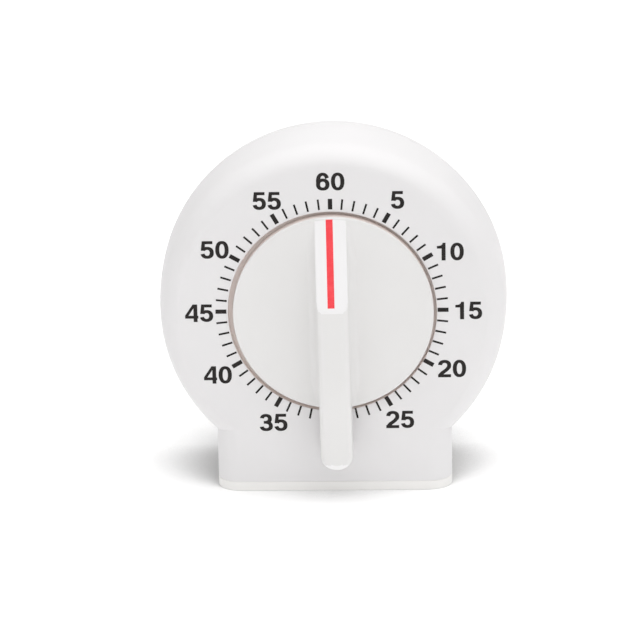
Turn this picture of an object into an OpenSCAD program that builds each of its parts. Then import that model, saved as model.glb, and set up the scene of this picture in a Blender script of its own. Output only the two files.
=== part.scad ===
// Clockwork sixty-minute kitchen timer with a turned drum case, an integral foot and a bell.
// Millimetres. X to the right seen from the front, Y to the back, Z up; the origin is the centre of the
// foot's underside. Depths are measured from the flat front face towards the back.

/* [Case] */
// Diameter of the drum
drum_d = 95; // [90:1:106]
// Depth of the case from the flat face to the back
case_depth = 38; // [36:0.5:46]
// Height of the drum's lowest point above the table
drum_lift = 2.6; // [2.6:0.1:8]
// How far the drum's centre lies below the dial's centre
drum_drop = 1.6; // [0:0.1:3]
// Wall thickness of both shells
wall = 2.2; // [1.8:0.1:2.6]
// Width of the rounded front shoulder
shoulder_w = 4.4; // [3:0.1:6]
// Depth over which the front shoulder rounds off
shoulder_depth = 7; // [5:0.5:9]
// How far the drum's side draws in towards the front
side_draft = 1.6; // [0.8:0.1:2]
// Depth at which the drum reaches its full diameter
draft_depth = 20; // [16:0.5:20]
// Width of the rounded rear edge
rear_w = 9; // [4:0.5:10]
// Depth over which the rear edge rounds off
rear_depth = 15; // [9:0.5:16]
// Depth of the seam between the front and the rear shell
seam_depth = 24; // [22:0.5:26]
// Height of the lap joint at the seam
lap_h = 2; // [1.5:0.1:2.5]

/* [Foot] */
// Width of the foot
foot_w = 64.2; // [56:0.1:68]
// Radius of the foot's upright corners
foot_corner = 6.5; // [5:0.5:10]
// Thickness of the base plate
base_t = 2.6; // [2.4:0.1:3.4]
// Distance of the base screws from the centre line
base_screw_x = 23; // [18:0.5:23.5]
// Distance of the base screws from the middle of the depth
base_screw_y = 12; // [10.5:0.5:12.5]

/* [Dial and knob] */
// Gap between the knob's disc and the round recess in the dial
disc_gap = 1.1; // [0.5:0.1:1.5]
// Depth of the recess
recess_depth = 3.7; // [3.4:0.1:4]
// Thickness of the recess floor
recess_floor = 1.8; // [1.4:0.1:2]
// Radius of the knob's disc
disc_r = 27.1; // [25:0.1:29]
// How far the disc stands out of the dial
disc_proud = 1.5; // [1:0.1:2]
// Height of the disc's rim
disc_h = 4.2; // [3.6:0.1:4.4]
// Width of the grip
grip_w = 8.7; // [7.5:0.1:10]
// Height of the grip's ridge above the dial
ridge_h = 9.5; // [8:0.1:11]
// Height of the grip's tail end above the dial
tail_h = 12.5; // [11:0.1:14]
// Reach of the tail from the dial's centre
tail_reach = 41.8; // [38:0.1:44]
// Place of the ridge above the dial's centre
ridge_z = 3.4; // [2:0.1:6]
// Width of the red index line
index_w = 1.85; // [1.4:0.05:2.2]

/* [Movement] */
// Radius of the two movement plates
plate_r = 29.5; // [29:0.1:30]
// Thickness of the movement plates
plate_t = 1; // [0.8:0.1:1.1]
// Depth of the front plate's front face
plate_depth = 7.1; // [7:0.1:7.3]
// Room for the cam, the hammer and the bell behind the back plate
alarm_room = 11.7; // [11.7:0.1:13]
// Diameter of the pillars
pillar_d = 4; // [3.4:0.1:4.2]
// Distance of the pillars from the main arbor
pillar_r = 26.5; // [26.3:0.1:26.8]
// Module of the great wheel
module_main = 0.5; // [0.5:0.01:0.51]
// Module of the faster wheels
module_fine = 0.4; // [0.4:0.01:0.41]
// Teeth of the great wheel
great_teeth = 60; // [60:1:60]
// Teeth of the second wheel
second_teeth = 50; // [50:1:50]
// Teeth of the third wheel
third_teeth = 40; // [40:1:40]
// Teeth of every pinion
pinion_teeth = 10; // [10:1:11]
// Teeth of the escape wheel
escape_teeth = 30; // [30:1:30]
// Tip radius of the escape wheel
escape_r = 8.5; // [8.3:0.1:8.6]
// Play between two teeth in mesh
backlash = 0.08; // [0.06:0.01:0.1]
// Radius of the main arbor
arbor_r = 2; // [1.8:0.1:2.2]
// Thickness of the spring steel band
spring_t = 0.3; // [0.2:0.05:0.4]
// Turns of the mainspring
spring_turns = 9; // [7:1:9]

/* [Alarm] */
// Radius of the alarm cam
cam_r = 7; // [6.8:0.1:7.2]
// Outer radius of the bell
bell_r = 21.3; // [21.3:0.1:22]
// Height of the bell
bell_h = 6.4; // [6:0.1:6.6]
// Thickness of the bell's metal
bell_t = 0.8; // [0.6:0.1:0.9]
// Radius of the hammer's head
hammer_r = 1.5; // [1.2:0.1:1.5]

/* [Fits] */
// Radial play of a shaft, pivot or screw in its hole
fit = 0.05; // [0.03:0.01:0.08]
// Side play of the lap joint and other loose plastic seats
loose = 0.1; // [0.08:0.01:0.2]

/* [Hidden] */
$fn = 96;
fine_fn = 48;
eps = 0.01;
// How far a cut runs past the face it goes through
cut = 1;

// case
drum_r = drum_d / 2;
drum_z = drum_lift + drum_r;
axis_h = drum_z + drum_drop;
front_y = -case_depth / 2;
recess_r = disc_r + disc_gap;
flat_r = drum_r - shoulder_w - side_draft;
foot_top = drum_z - flat_r / 2;
back_in = case_depth - wall;
arc_steps = 10;
draft_steps = 4;
end_steps = 10;
boss_r = 3.2;
case_screw_inset = 10.5;
case_screw_r = drum_r - case_screw_inset;
case_screw_angles = [40, 140, 220, 320];
case_screw_shank = 1.4;
case_screw_head = 2.7;
case_screw_sink = 3;
case_screw_bite = 9;
case_hole_spare = 3;
head_h = 1.6;
cross_w = 0.6;
cross_depth = 0.6;
movement_gap = 0.9;
movement_screw_r = recess_r + recess_floor + boss_r + movement_gap;
movement_screw_angles = [90, 210, 330];
movement_shank = 1.1;
movement_head = 2.1;
movement_hole_floor = 0.6;
movement_screw_floor = 0.9;
base_shank = 1.3;
base_head = 2.5;
base_screw_sink = 0.3;
base_boss_h = 9;
base_screw_l = 7.5;
web_t = 1.2;
base_rim_h = 1.2;
base_rim_t = 1.2;
slot_w = 2;
slot_from = 11;
slot_to = 23;
slot_count = 16;
slot_pitch = 360 / slot_count;

// knob
disc_top = disc_proud;
disc_back = disc_h - disc_proud;
disc_skin = 2;
disc_wall = 1.8;
edge_round = 0.8;
edge_steps = 5;
hub_r = 4.5;
hub_play = 0.3;
hub_gap = 0.5;
hub_end = plate_depth - hub_gap;
tail_w = grip_w - 0.15;
tail_under = 6.4;
tail_nose = 1.6;
tail_edge = 1;
tail_edge_drop = 0.4;
tail_edge_in = 2.5;
tail_chin = 0.6;
tip_steps = 16;
rim_under = disc_top + 1.2;
rim_clear = 1;
ramp_top = disc_r - 1.2;
ramp_rim_h = disc_top + 0.15;
ridge_front = ridge_z + 1;
ridge_back = ridge_z - 1.5;
ridge_rise = 0.15;
crown_steps = 6;
grip_base_w = grip_w + 5.4;
flank_h = 4;
flank_low = 2;
flank_top = 6;
index_t = 0.5;
index_inset = 0.3;
ramp_slope = atan((ridge_h - ramp_rim_h) / (ramp_top - ridge_front));
index_len = (ramp_top - ridge_front) / cos(ramp_slope) - 2 * index_inset;
index_play = 0.02;
arbor_front = 3;
flat_depth = 0.5;

// movement depths
inner_front = plate_depth + plate_t;
back_depth = case_depth - wall - alarm_room - plate_t;
washer_gap = 0.15;
washer_depth = inner_front + washer_gap;
washer_t = 0.5;
washer_r = 5;
great_depth = washer_depth + washer_t + washer_gap;
great_t = 1.2;
ratchet_gap = 0.1;
ratchet_depth = great_depth + great_t + ratchet_gap;
ratchet_t = 1;
spring_gap = 0.5;
spring_depth = ratchet_depth + ratchet_t + spring_gap;
wheel_t = 0.7;
lever_t = 0.6;
escape_gap = 1;
escape_depth = back_depth - escape_gap - wheel_t;
lever_gap = 0.2;
lever_depth = escape_depth - lever_gap - lever_t;
third_depth = lever_depth - lever_gap - wheel_t;
third_gap = 1.1;
second_depth = third_depth - third_gap - wheel_t;
second_gap = 0.7;
spring_w = second_depth - second_gap - spring_depth;
spring_play = 0.1;
pinion_over = 0.25;
end_play = 0.2;
pivot_play = 0.1;
thin_arbor = 0.9;
pivot_r = 0.5;
rear_pivot_r = 1.5;

// places of the arbors seen from the front, from the main arbor
pressure = 25;
addendum = 0.8;
dedendum = 1.12;
flank_steps = 4;
second_reach = module_main * (great_teeth + pinion_teeth) / 2;
third_reach = module_fine * (second_teeth + pinion_teeth) / 2;
escape_reach = module_fine * (third_teeth + pinion_teeth) / 2;
second_angle = -30;
third_angle = 77.5;
escape_angle = 114.5;
pallet_angle = 150;
second_at = polar(second_reach, second_angle);
third_at = second_at + polar(third_reach, third_angle);
escape_at = third_at + polar(escape_reach, escape_angle);
pin_r = 0.25;
pin_gap = 0.12;
pin_fit = 0.03;
pin_circle = escape_r + pin_r + pin_gap;
pin_spread = 27;
escape_turn = 0.27;
pallet_reach = escape_r + 2.5;
pallet_arm_w = 1.3;
pallet_bar_w = 1.6;
pallet_hub_r = 1.8;
pallet_at = escape_at + polar(pallet_reach, pallet_angle);
weight_r = 1.6;
weight_h = 1.6;
weight_pin = 0.4;
weight_reach = 5;
pillar_angles = [66, 155, 225, 290];
pillar_end = pillar_d / 4;
pillar_over = 0.3;
nut_d = 4.4;
nut_h = 1.6;
front_lug_in = 5;

// windows between the spokes of the wheels: number, inner radius, outer radius, spoke width
second_windows = [4, 3, 8, 2.25];
third_windows = [4, 2.6, 6.2, 1.62];
escape_windows = [4, 2.2, 6.2, 1.4];
escape_tooth = 1.3;

// ratchet and mainspring
ratchet_teeth = 20;
ratchet_r = 7;
ratchet_tooth = 1.1;
click_at = 10.2;
click_eye = 1.5;
click_play = 0.1;
click_rivet = 0.6;
rivet_head_r = 1.1;
rivet_head_t = 0.25;
click_turn = 20;
click_outline = [[11.3, 0.8], [5.2, 6], [4.81, 3.83], [5.82, 4.63], [7.6, 1.2], [9, -0.8]];
collet_r = 3;
collet_play = 0.1;
coil_inner = collet_r + collet_play + spring_t / 2;
coil_outer = 13.6;
coil_steps = 24;
tail_steps = 12;
hook_pillar = 2;
hook_start = 40;
hook_from = 30;
hook_sweep = 270;
hook_gap = 0.15;
hook_r = pillar_d / 2 + hook_gap + spring_t / 2;

// alarm
cam_gap = 0.8;
cam_depth = back_depth + plate_t + cam_gap;
cam_t = 1.8;
cam_notch_r = 4.9;
cam_notch = [212, 262];
notch_steps = 8;
arbor_over = 0.6;
arbor_end = cam_depth + cam_t + arbor_over;
hammer_reach = cam_r + 13.4;
hammer_at = polar(hammer_reach, 191.3);
head_swing = 2.43;
hammer_head_at = polar(bell_r - bell_t - hammer_r - head_swing, 108.65);
head_pin = 0.7;
head_over = 1;
head_into_bell = 2.6;
tail_tip_r = 0.8;
tail_tip_gap = 0.25;
tail_tip_at = polar(cam_r + tail_tip_gap + tail_tip_r, 250);
post_r = 1.5;
post_foot_r = 1.05;
post_neck_r = 1.2;
post_cap_t = 0.4;
lever_hub = 2.7;
head_arm_w = 2.4;
cam_arm_w = 1.4;
hammer_lever_depth = cam_depth + 0.4;
hammer_lever_t = 1;
hub_gap_back = 0.2;
hub_from = back_depth + plate_t + hub_gap_back;
hub_len = 2.6;
hub_to = hub_from + hub_len;
clip_t = 0.4;
clip_w = 1;
clip_play = 0.05;
bell_gap = 1.2;
bell_rim = case_depth - wall - bell_gap - bell_h;
bell_back = bell_rim + bell_h;
bell_skirt = 2.4;
bell_steps = 10;
bell_boss = 4;
bell_shank = 1.4;
bell_head = 2.8;
bell_hole_floor = 0.8;
bell_screw_floor = 1.2;
post_end = hub_to + clip_t + post_cap_t;
spring_post_at = [-15.5, -14.5];
spring_post_r = 1.1;
spring_foot_r = 0.8;
leaf_tip_at = [-8, -7.95];
leaf_t = 0.3;
leaf_from = 135;

function polar(r, a) = [r * cos(a), r * sin(a)];
function arc(r, a0, a1, n, c = [0, 0]) = [for (i = [0:n]) c + polar(r, a0 + (a1 - a0) * i / n)];

// Involute tooth outlines. polar angle of the involute of base radius rb at radius r
function involute(rb, r) = let (t = sqrt(max(0, r * r / (rb * rb) - 1))) t * 180 / PI - atan(t);
function gear_points(m, z) =
    let (rp = m * z / 2, rb = rp * cos(pressure), ra = rp + addendum * m, rf = rp - dedendum * m,
        r0 = max(rb, rf), half = 90 / z - backlash / 4 / rp * 180 / PI + involute(rb, rp))
    [for (k = [0:z - 1], s = [-1, 1], i = [0:flank_steps + 1])
        let (j = s < 0 ? i : flank_steps + 1 - i,
            r = j == 0 ? rf : r0 + (ra - r0) * (j - 1) / flank_steps)
        polar(r, 360 * k / z + s * (half - involute(rb, r)))];
// Ratchet or escape wheel with pointed teeth leaning one way
function saw_points(r, root, z, lean, tip) =
    [for (k = [0:z - 1], q = [[root, -lean], [r, 0], [r, tip], [root, lean * 0.35]])
        polar(q[0], 360 / z * (k + q[1]))];

// Carries children from the front view onto the plane at a depth behind the face, about the dial's centre;
// upwards in the child is towards the front
module at_depth(depth, p = [0, 0]) {
    translate([p[0], front_y + depth, axis_h + p[1]]) rotate([90, 0, 0]) children();
}
// A plate whose front is at one depth
module plate_at(depth, t, p = [0, 0]) {
    at_depth(depth + t, p) linear_extrude(t) children();
}
// A rod between two depths
module rod(from, to, r, p = [0, 0]) {
    at_depth(to, p) cylinder(h = to - from, r = r);
}
module ring(r_out, r_in) {
    difference() {
        circle(r = r_out);
        circle(r = r_in);
    }
}
// A bar with round ends in the front view
module bar(p, q, w) {
    along = atan2(q[1] - p[1], q[0] - p[0]);
    polygon(concat(arc(w / 2, along + 90, along + 270, end_steps, p), arc(w / 2, along - 90, along + 90, end_steps, q)));
}
module rounded_plan(w, d, r) {
    union() {
        square([w, d - 2 * r], center = true);
        square([w - 2 * r, d], center = true);
        for (x = [-1, 1], y = [-1, 1]) translate([x * (w / 2 - r), y * (d / 2 - r)]) circle(r = r);
    }
}

function draft_at(depth) = side_draft * pow(1 - depth / draft_depth, 2);
// Drum turned about its own axis, shrunk by an inset on every side
module drum(inset) {
    r = drum_r - inset;
    rs = shoulder_w - inset * 0.8;
    ds = shoulder_depth - inset * 0.8;
    rr = max(rear_w - inset, 1);
    dr = max(rear_depth - inset, 1);
    depth = case_depth - inset;
    shoulder = [for (i = [arc_steps:-1:0]) let (a = 90 * i / arc_steps, d = ds * (1 - sin(a)))
        [r - rs + rs * cos(a) - draft_at(d), -inset - d]];
    side = [for (i = [1:draft_steps]) let (d = ds + (draft_depth - ds) * i / draft_steps)
        [r - draft_at(d), -inset - d]];
    rear = [for (i = [0:arc_steps]) let (a = 90 * i / arc_steps)
        [r - rr + rr * cos(a), dr - depth - dr * sin(a)]];
    at_depth(0, [0, -drum_drop]) rotate_extrude()
        polygon(concat([[0, -inset]], shoulder, side, rear, [[0, -depth]]));
}
module foot_block(inset) {
    translate([0, 0, base_t]) linear_extrude(foot_top - base_t)
        rounded_plan(foot_w - 2 * inset, case_depth - 2 * inset, max(foot_corner - inset, 1));
}
module above_base(play) {
    translate([-drum_d, -case_depth, base_t - play]) cube([2 * drum_d, 2 * case_depth, 2 * drum_d]);
}
module case_solid() {
    intersection() {
        union() {
            drum(0);
            foot_block(0);
        }
        above_base(0);
    }
}
module case_hollow() {
    intersection() {
        union() {
            drum(wall);
            translate([0, 0, -eps]) foot_block(wall);
        }
        above_base(eps);
    }
}
// Outline of the case in the front view, for the lap joint
module case_outline(inset) {
    translate([0, -drum_drop]) circle(r = drum_r - inset);
    h = axis_h - base_t;
    translate([-foot_w / 2 + inset, -h]) square([foot_w - 2 * inset, h - (axis_h - foot_top)]);
}
module depth_slab(from, to) {
    translate([-drum_d, front_y + from, -eps]) cube([2 * drum_d, to - from, 3 * axis_h]);
}
module case_bosses(from, to) {
    for (a = case_screw_angles) translate([0, 0, -drum_drop]) rod(from, to, boss_r, polar(case_screw_r, a));
}
module base_bosses(sides) {
    for (x = [-1, 1], y = sides) translate([x * base_screw_x, y * base_screw_y, base_t + base_rim_h])
        cylinder(h = base_boss_h, r = boss_r);
}
module base_holes() {
    for (x = [-1, 1], y = [-1, 1]) translate([x * base_screw_x, y * base_screw_y, base_t])
        cylinder(h = base_boss_h, r = base_shank + fit);
}
module boss_webs(sides) {
    for (x = [-1, 1], y = sides)
        translate([x > 0 ? base_screw_x : -foot_w / 2 + wall / 2, y * base_screw_y - web_t / 2, base_t + base_rim_h])
            cube([foot_w / 2 - wall / 2 - base_screw_x, web_t, base_boss_h]);
}

module front_case() {
    color("whitesmoke") difference() {
        union() {
            difference() {
                intersection() {
                    case_solid();
                    depth_slab(-cut, seam_depth);
                }
                case_hollow();
            }
            rod(eps, recess_depth + recess_floor, recess_r + recess_floor);
            intersection() {
                union() {
                    case_bosses(wall / 2, seam_depth - lap_h);
                    for (a = movement_screw_angles)
                        rod(wall / 2, plate_depth, boss_r, polar(movement_screw_r, a));
                    base_bosses([-1]);
                    boss_webs([-1]);
                }
                case_solid();
            }
        }
        rod(-cut, recess_depth, recess_r);
        rod(0, plate_depth, hub_r + hub_play);
        for (a = case_screw_angles) translate([0, 0, -drum_drop])
            rod(seam_depth - case_screw_bite - case_hole_spare, case_depth, case_screw_shank + fit, polar(case_screw_r, a));
        for (a = movement_screw_angles)
            rod(wall + movement_hole_floor, plate_depth + cut, movement_shank + fit, polar(movement_screw_r, a));
        base_holes();
        plate_at(seam_depth - lap_h, lap_h + eps) intersection() {
            case_outline(wall / 2);
            translate([-drum_d, base_t + wall - axis_h]) square([2 * drum_d, 2 * drum_d]);
        }
    }
}
module rear_case() {
    color("whitesmoke") difference() {
        union() {
            difference() {
                intersection() {
                    case_solid();
                    depth_slab(seam_depth, case_depth + cut);
                }
                case_hollow();
            }
            plate_at(seam_depth - lap_h + loose, lap_h) intersection() {
                difference() {
                    case_outline(wall / 2 + loose);
                    case_outline(wall);
                }
                translate([-drum_d, base_t + wall + loose - axis_h]) square([2 * drum_d, 2 * drum_d]);
            }
            intersection() {
                union() {
                    case_bosses(seam_depth - lap_h + loose, case_depth);
                    base_bosses([1]);
                    boss_webs([1]);
                }
                case_solid();
            }
            rod(bell_back, case_depth - wall / 2, bell_boss);
        }
        for (a = case_screw_angles) translate([0, 0, -drum_drop]) {
            rod(seam_depth - lap_h - cut, case_depth, case_screw_shank + fit, polar(case_screw_r, a));
            rod(case_depth - case_screw_sink, case_depth + cut, case_screw_head + loose, polar(case_screw_r, a));
        }
        base_holes();
        rod(bell_rim, case_depth - bell_hole_floor, bell_shank + fit);
        for (i = [0:slot_count - 1]) plate_at(back_in - cut, wall + 2 * cut)
            bar(polar(slot_from, slot_pitch * (i + 0.5)), polar(slot_to, slot_pitch * (i + 0.5)), slot_w);
    }
}
module base_plate() {
    color("ivory") difference() {
        union() {
            linear_extrude(base_t) rounded_plan(foot_w, case_depth, foot_corner);
            translate([0, 0, base_t - eps]) linear_extrude(base_rim_h) difference() {
                rounded_plan(foot_w - 2 * (wall + loose), case_depth - 2 * (wall + loose), foot_corner - wall);
                rounded_plan(foot_w - 2 * (wall + loose + base_rim_t), case_depth - 2 * (wall + loose + base_rim_t),
                    foot_corner - wall - base_rim_t);
            }
        }
        for (x = [-1, 1], y = [-1, 1]) translate([x * base_screw_x, y * base_screw_y, -cut]) {
            cylinder(h = base_t + base_rim_h + 2 * cut, r = base_shank + fit);
            cylinder(h = cut + head_h, r = base_head + loose);
        }
    }
}
// Cross-head screw with its head at the bottom
module screw_up(shank_r, shank_l, head_r, head_t) {
    difference() {
        union() {
            cylinder(h = head_t, r = head_r);
            cylinder(h = head_t + shank_l, r = shank_r);
        }
        for (a = [0, 90]) rotate(a) translate([-head_r / 2, -cross_w / 2, -cut])
            cube([head_r, cross_w, cut + cross_depth]);
    }
}
module case_screws() {
    color("silver") for (a = case_screw_angles) translate([0, 0, -drum_drop])
        at_depth(case_depth - case_screw_sink + head_h, polar(case_screw_r, a))
            screw_up(case_screw_shank, case_depth - case_screw_sink - seam_depth + case_screw_bite, case_screw_head, head_h);
}
module base_screws() {
    color("silver") for (x = [-1, 1], y = [-1, 1]) translate([x * base_screw_x, y * base_screw_y, base_screw_sink])
        screw_up(base_shank, base_screw_l, base_head, head_h - base_screw_sink);
}

// Outline of the grip from the side: first value upwards on the dial, second value in front of the face
function grip_side() = concat(
    [[ramp_top, disc_top - edge_round], [ramp_top, ramp_rim_h], [ridge_front, ridge_h]],
    [for (i = [0:crown_steps]) let (s = i / crown_steps, crown = ridge_h + ridge_rise)
        [ridge_back - s * (tail_reach - tail_edge_in + ridge_back), crown + (tail_h - crown) * s * (2 - s)]],
    [[-tail_reach + tail_edge, tail_h - tail_edge_drop], [-tail_reach, tail_h - tail_nose],
        [-tail_reach, tail_under + tail_chin], [-tail_reach + tail_chin, tail_under],
        [-disc_r - rim_clear, rim_under], [-disc_r + rim_clear, disc_top - edge_round]]);
module grip_front() {
    r = tail_w / 2;
    polygon(concat([[grip_w / 2, ramp_top], [-grip_w / 2, ramp_top], [-r, -tail_reach + r]],
        arc(r, 180, 360, tip_steps, [0, -tail_reach + r])));
}
// The grip's side outline carried through a width across the dial
module grip_slab() {
    translate([-grip_base_w / 2, 0, axis_h]) rotate([90, 0, 90]) linear_extrude(grip_base_w)
        polygon([for (p = grip_side()) [front_y - p[1], p[0]]]);
}
// Cross-section of the grip's foot, spreading softly onto the disc
function flank(side) = [for (i = [0:crown_steps]) let (a = 90 * i / crown_steps)
    [side * (grip_base_w - (grip_base_w - grip_w) * sin(a)) / 2, front_y - disc_top - flank_h * (1 - cos(a))]];
module grip() {
    intersection() {
        grip_slab();
        plate_at(-2 * tail_h, 2 * tail_h) grip_front();
    }
    right = flank(1);
    left = flank(-1);
    intersection() {
        grip_slab();
        translate([0, 0, axis_h - disc_r + flank_low]) linear_extrude(2 * disc_r - flank_low - flank_top)
            polygon(concat(right, [for (i = [crown_steps:-1:0]) left[i]],
                [[-grip_base_w / 2, front_y], [grip_base_w / 2, front_y]]));
    }
}
// Bar lying in the ramp's surface, from just above the ridge to just inside the rim
module index_bar(play) {
    translate([0, front_y - ridge_h, axis_h + ridge_front]) rotate([-ramp_slope, 0, 0])
        translate([-index_w / 2 - play, -play - index_play, index_inset - play])
            cube([index_w + 2 * play, index_t + play + index_play, index_len + 2 * play]);
}
module main_bore(play) {
    difference() {
        rod(-arbor_front - play, hub_end + cut, arbor_r + play);
        translate([-hub_r, front_y - arbor_front - cut, axis_h + arbor_r - flat_depth + play])
            cube([2 * hub_r, arbor_front + cut + disc_back, hub_r]);
    }
}
module dial_knob() {
    color("white") difference() {
        union() {
            at_depth(0) rotate_extrude() polygon(concat([[0, disc_top]],
                arc(edge_round, 90, 0, edge_steps, [disc_r - edge_round, disc_top - edge_round]),
                [[disc_r, -disc_back], [disc_r - disc_wall, -disc_back],
                    [disc_r - disc_wall, disc_top - disc_skin], [hub_r, disc_top - disc_skin],
                    [hub_r, -hub_end], [0, -hub_end]]));
            grip();
        }
        main_bore(fit);
        index_bar(index_play);
    }
}
module pointer_inlay() {
    color("tomato") index_bar(0);
}

module main_arbor() {
    color("lightsteelblue") {
        main_bore(0);
        rod(hub_end + cut, back_depth - end_play, arbor_r);
        rod(spring_depth, spring_depth + spring_w, collet_r);
        rod(back_depth - end_play - eps, arbor_end, rear_pivot_r);
    }
}
module thrust_washer() {
    color("goldenrod") plate_at(washer_depth, washer_t) ring(washer_r, arbor_r + fit);
}
// Windows between a wheel's spokes
module windows(w) {
    difference() {
        ring(w[2], w[1]);
        for (i = [0:w[0] - 1]) rotate(360 / w[0] * i) translate([0, -w[3] / 2]) square([w[2] + cut, w[3]]);
    }
}
module gear(m, z, bore, w) {
    difference() {
        polygon(gear_points(m, z));
        circle(r = bore + fit, $fn = fine_fn);
        windows(w);
    }
}
module click_holes() {
    for (s = [0, 180])
        rod(great_depth - cut, ratchet_depth + ratchet_t + cut, click_rivet + fit, polar(click_at, s + click_turn));
}
module great_wheel() {
    color("gold") difference() {
        plate_at(great_depth, great_t) rotate(second_angle) difference() {
            polygon(gear_points(module_main, great_teeth));
            circle(r = arbor_r + fit, $fn = fine_fn);
        }
        click_holes();
    }
}
module ratchet_wheel() {
    color("silver") plate_at(ratchet_depth, ratchet_t) difference() {
        polygon(saw_points(ratchet_r, ratchet_r - ratchet_tooth, ratchet_teeth, 0.55, 0.06));
        circle(r = arbor_r + fit, $fn = fine_fn);
    }
}
module ratchet_clicks() {
    color("silver") difference() {
        for (s = [0, 180]) plate_at(ratchet_depth, ratchet_t - click_play) rotate(s + click_turn) {
            translate([click_at, 0]) circle(r = click_eye, $fn = fine_fn);
            polygon(click_outline);
        }
        click_holes();
    }
}
module click_rivets() {
    head = ratchet_depth + ratchet_t;
    color("gray") for (s = [0, 180]) {
        rod(great_depth, head, click_rivet, polar(click_at, s + click_turn));
        rod(head, head + rivet_head_t, rivet_head_r, polar(click_at, s + click_turn));
    }
}
// Centre line of the mainspring: a spiral out from the collet, a tail, and a hook round one pillar
function coil_radius(t) = coil_inner + (coil_outer - coil_inner) * t / spring_turns;
function spring_line() =
    let (pillar = polar(pillar_r, pillar_angles[hook_pillar]), start = pillar + polar(hook_r, hook_from),
        end_r = norm(start), end_a = atan2(start[1], start[0]) + 360)
    concat([for (i = [0:coil_steps * spring_turns]) polar(coil_radius(i / coil_steps), hook_start + 360 * i / coil_steps)],
        [for (i = [1:tail_steps - 1]) let (s = i / tail_steps)
            polar(coil_outer + (end_r - coil_outer) * s * s, hook_start + s * (end_a - hook_start))],
        arc(hook_r, hook_from, hook_from - hook_sweep, tail_steps, pillar));
function normal_at(line, i) =
    let (d = line[min(i + 1, len(line) - 1)] - line[max(i - 1, 0)]) [-d[1], d[0]] / norm(d);
// A band of even thickness along a line
module band(line, t) {
    n = len(line) - 1;
    polygon(concat([for (i = [0:n]) line[i] + normal_at(line, i) * t / 2],
        [for (i = [n:-1:0]) line[i] - normal_at(line, i) * t / 2]));
}
module mainspring() {
    color("slategray") plate_at(spring_depth + spring_play, spring_w - 2 * spring_play) band(spring_line(), spring_t);
}
module arbor_holes(r) {
    for (p = [second_at, third_at, escape_at, pallet_at]) translate(p) circle(r = r, $fn = fine_fn);
}
module pillar_holes(r) {
    for (a = pillar_angles) translate(polar(pillar_r, a)) circle(r = r, $fn = fine_fn);
}
module front_plate() {
    color("khaki") plate_at(plate_depth, plate_t) difference() {
        union() {
            circle(r = plate_r);
            for (a = movement_screw_angles) bar(polar(plate_r - front_lug_in, a), polar(movement_screw_r, a), 2 * boss_r);
        }
        circle(r = arbor_r + fit);
        arbor_holes(pivot_r + fit);
        pillar_holes(pillar_end + fit);
        for (a = movement_screw_angles) translate(polar(movement_screw_r, a)) circle(r = movement_shank + loose);
    }
}
module back_plate() {
    color("khaki") plate_at(back_depth, plate_t) difference() {
        circle(r = plate_r);
        circle(r = rear_pivot_r + fit);
        arbor_holes(pivot_r + fit);
        pillar_holes(pillar_end + fit);
        translate(hammer_at) circle(r = post_foot_r + fit, $fn = fine_fn);
        translate(spring_post_at) circle(r = spring_foot_r + fit, $fn = fine_fn);
    }
}
module plate_pillars() {
    color("silver") for (a = pillar_angles) {
        rod(inner_front, back_depth, pillar_d / 2, polar(pillar_r, a));
        rod(plate_depth, back_depth + plate_t + nut_h + pillar_over, pillar_end, polar(pillar_r, a));
    }
}
module pillar_nuts() {
    color("silver") for (a = pillar_angles) plate_at(back_depth + plate_t, nut_h, polar(pillar_r, a)) difference() {
        circle(d = nut_d, $fn = 6);
        circle(r = pillar_end + fit, $fn = fine_fn);
    }
}
module movement_screws() {
    color("silver") for (a = movement_screw_angles) at_depth(inner_front + head_h, polar(movement_screw_r, a))
        screw_up(movement_shank, inner_front - wall - movement_screw_floor, movement_head, head_h);
}

// An arbor with a pivot in each plate
module pivoted_arbor(p) {
    rod(inner_front + end_play, back_depth - end_play, thin_arbor, p);
    rod(plate_depth + pivot_play, back_depth + plate_t - pivot_play, pivot_r, p);
}
// An arbor with its pinion cut on it, a tooth space facing the wheel that drives it
module pinion_arbor(p, m, face, t, towards) {
    pivoted_arbor(p);
    plate_at(face - pinion_over, t + 2 * pinion_over, p) rotate(towards + 180 + 180 / pinion_teeth)
        polygon(gear_points(m, pinion_teeth));
}
module second_pinion() {
    color("steelblue") pinion_arbor(second_at, module_main, great_depth, great_t, second_angle);
}
module second_wheel() {
    color("gold") plate_at(second_depth, wheel_t, second_at) rotate(third_angle)
        gear(module_fine, second_teeth, thin_arbor, second_windows);
}
module third_pinion() {
    color("steelblue") pinion_arbor(third_at, module_fine, second_depth, wheel_t, third_angle);
}
module third_wheel() {
    color("gold") plate_at(third_depth, wheel_t, third_at) rotate(escape_angle)
        gear(module_fine, third_teeth, thin_arbor, third_windows);
}
module escape_pinion() {
    color("steelblue") pinion_arbor(escape_at, module_fine, third_depth, wheel_t, escape_angle);
}
module escape_wheel() {
    color("gold") plate_at(escape_depth, wheel_t, escape_at)
        rotate(pallet_angle + pin_spread + 360 / escape_teeth * escape_turn) difference() {
            polygon(saw_points(escape_r, escape_r - escape_tooth, escape_teeth, 0.2, 0.08));
            circle(r = thin_arbor + fit, $fn = fine_fn);
            windows(escape_windows);
        }
}
function pallet_pin_at(s) = escape_at + polar(pin_circle, pallet_angle + s * pin_spread);
function weight_at(s) = pallet_at + s * polar(weight_reach, pallet_angle - 90);
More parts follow.
